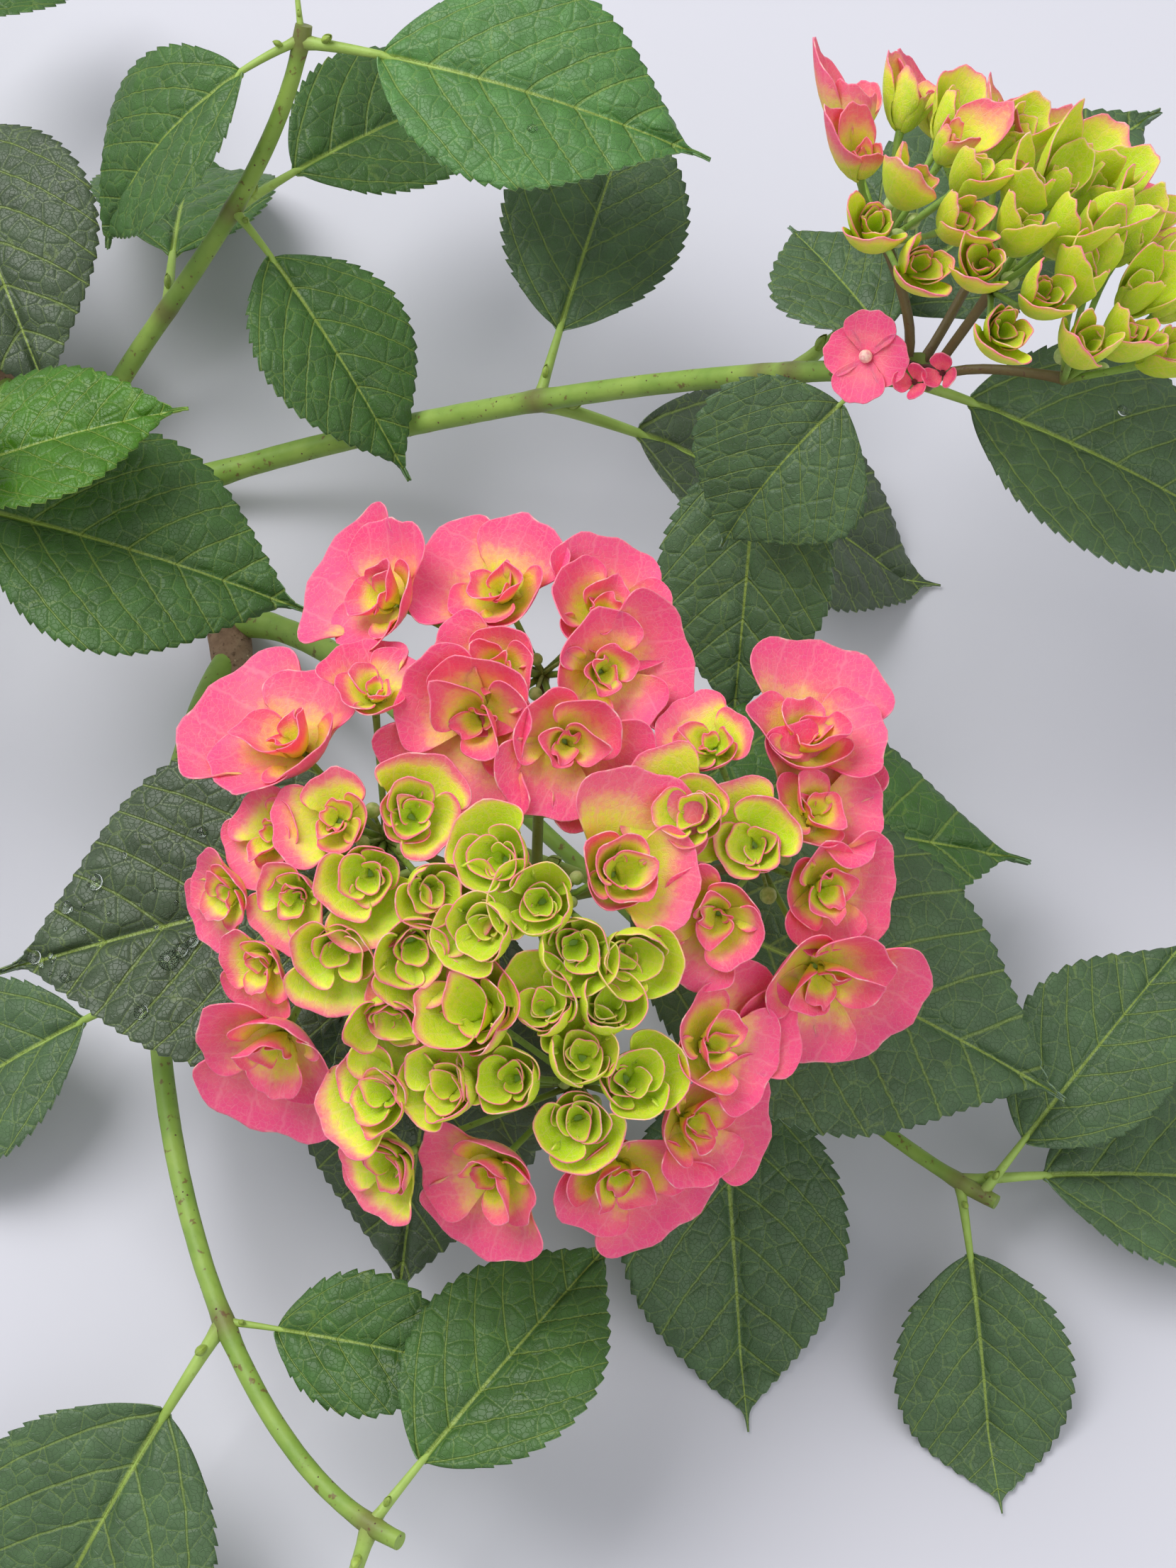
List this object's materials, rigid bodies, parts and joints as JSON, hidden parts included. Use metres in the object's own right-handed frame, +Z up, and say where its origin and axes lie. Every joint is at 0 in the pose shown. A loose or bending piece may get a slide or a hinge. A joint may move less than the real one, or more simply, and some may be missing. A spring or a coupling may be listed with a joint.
{
  "type": "cut flowering hydrangea branch",
  "caption": "Flowering hydrangea branch as cut, lying down: woody stem, arching green shoots, broad toothed leaves, a large half-open head of cupped florets and a smaller young head",
  "frame": {"origin": "on the level surface that the branch lies on, under the middle of its footprint", "axes": "+Z up; +Y along the branch's longest extent, away from the side that the flower heads lean to; +X to the right as seen from -Y"},
  "size_m": [0.4272, 0.5234, 0.1847],
  "materials": {
    "bark": "matt grey-brown bark with pale lenticels",
    "shoot": "smooth yellow-green skin with red-brown flecks",
    "leaf": "satin dark green blade, netted with sunken veins",
    "young_leaf": "satin bright green blade with pale veins",
    "main_florets": "soft matt sepals from lime at the heart to coral and pink outside",
    "young_florets": "soft matt lime sepals with pink tips"
  },
  "bodies": {
    "root": {"woody_stem": "bark", "shoot_main_bloom": "shoot", "leaf_main_bloom_1": "leaf", "leaf_main_bloom_2": "leaf", "leaf_main_bloom_3": "leaf", "leaf_main_bloom_4": "leaf", "leaf_main_bloom_5": "leaf", "shoot_young_bloom": "shoot", "leaf_young_bloom_1": "leaf", "leaf_young_bloom_2": "leaf", "leaf_young_bloom_3": "leaf", "leaf_young_bloom_4": "leaf", "leaf_young_bloom_5": "leaf", "leaf_young_bloom_6": "leaf", "leaf_young_bloom_7": "young_leaf", "shoot_back": "shoot", "leaf_back_1": "leaf", "leaf_back_2": "leaf", "leaf_back_3": "leaf", "leaf_back_4": "leaf", "leaf_back_5": "young_leaf", "leaf_back_6": "leaf", "shoot_rear": "shoot", "leaf_rear_1": "leaf", "leaf_rear_2": "leaf", "leaf_rear_3": "leaf", "leaf_rear_4": "leaf", "shoot_left": "shoot", "leaf_left_1": "leaf", "leaf_left_2": "leaf", "leaf_left_3": "leaf", "leaf_left_4": "leaf", "leaf_left_5": "young_leaf", "shoot_front": "shoot", "leaf_front_1": "leaf", "leaf_front_2": "leaf", "leaf_front_3": "leaf", "leaf_front_4": "leaf", "leaf_front_5": "leaf", "shoot_right": "shoot", "leaf_right_1": "leaf", "leaf_right_2": "leaf", "leaf_right_3": "leaf", "leaf_right_4": "leaf", "bloom_main": "main_florets", "bloom_young": "young_florets"}
  },
  "joints": []
}
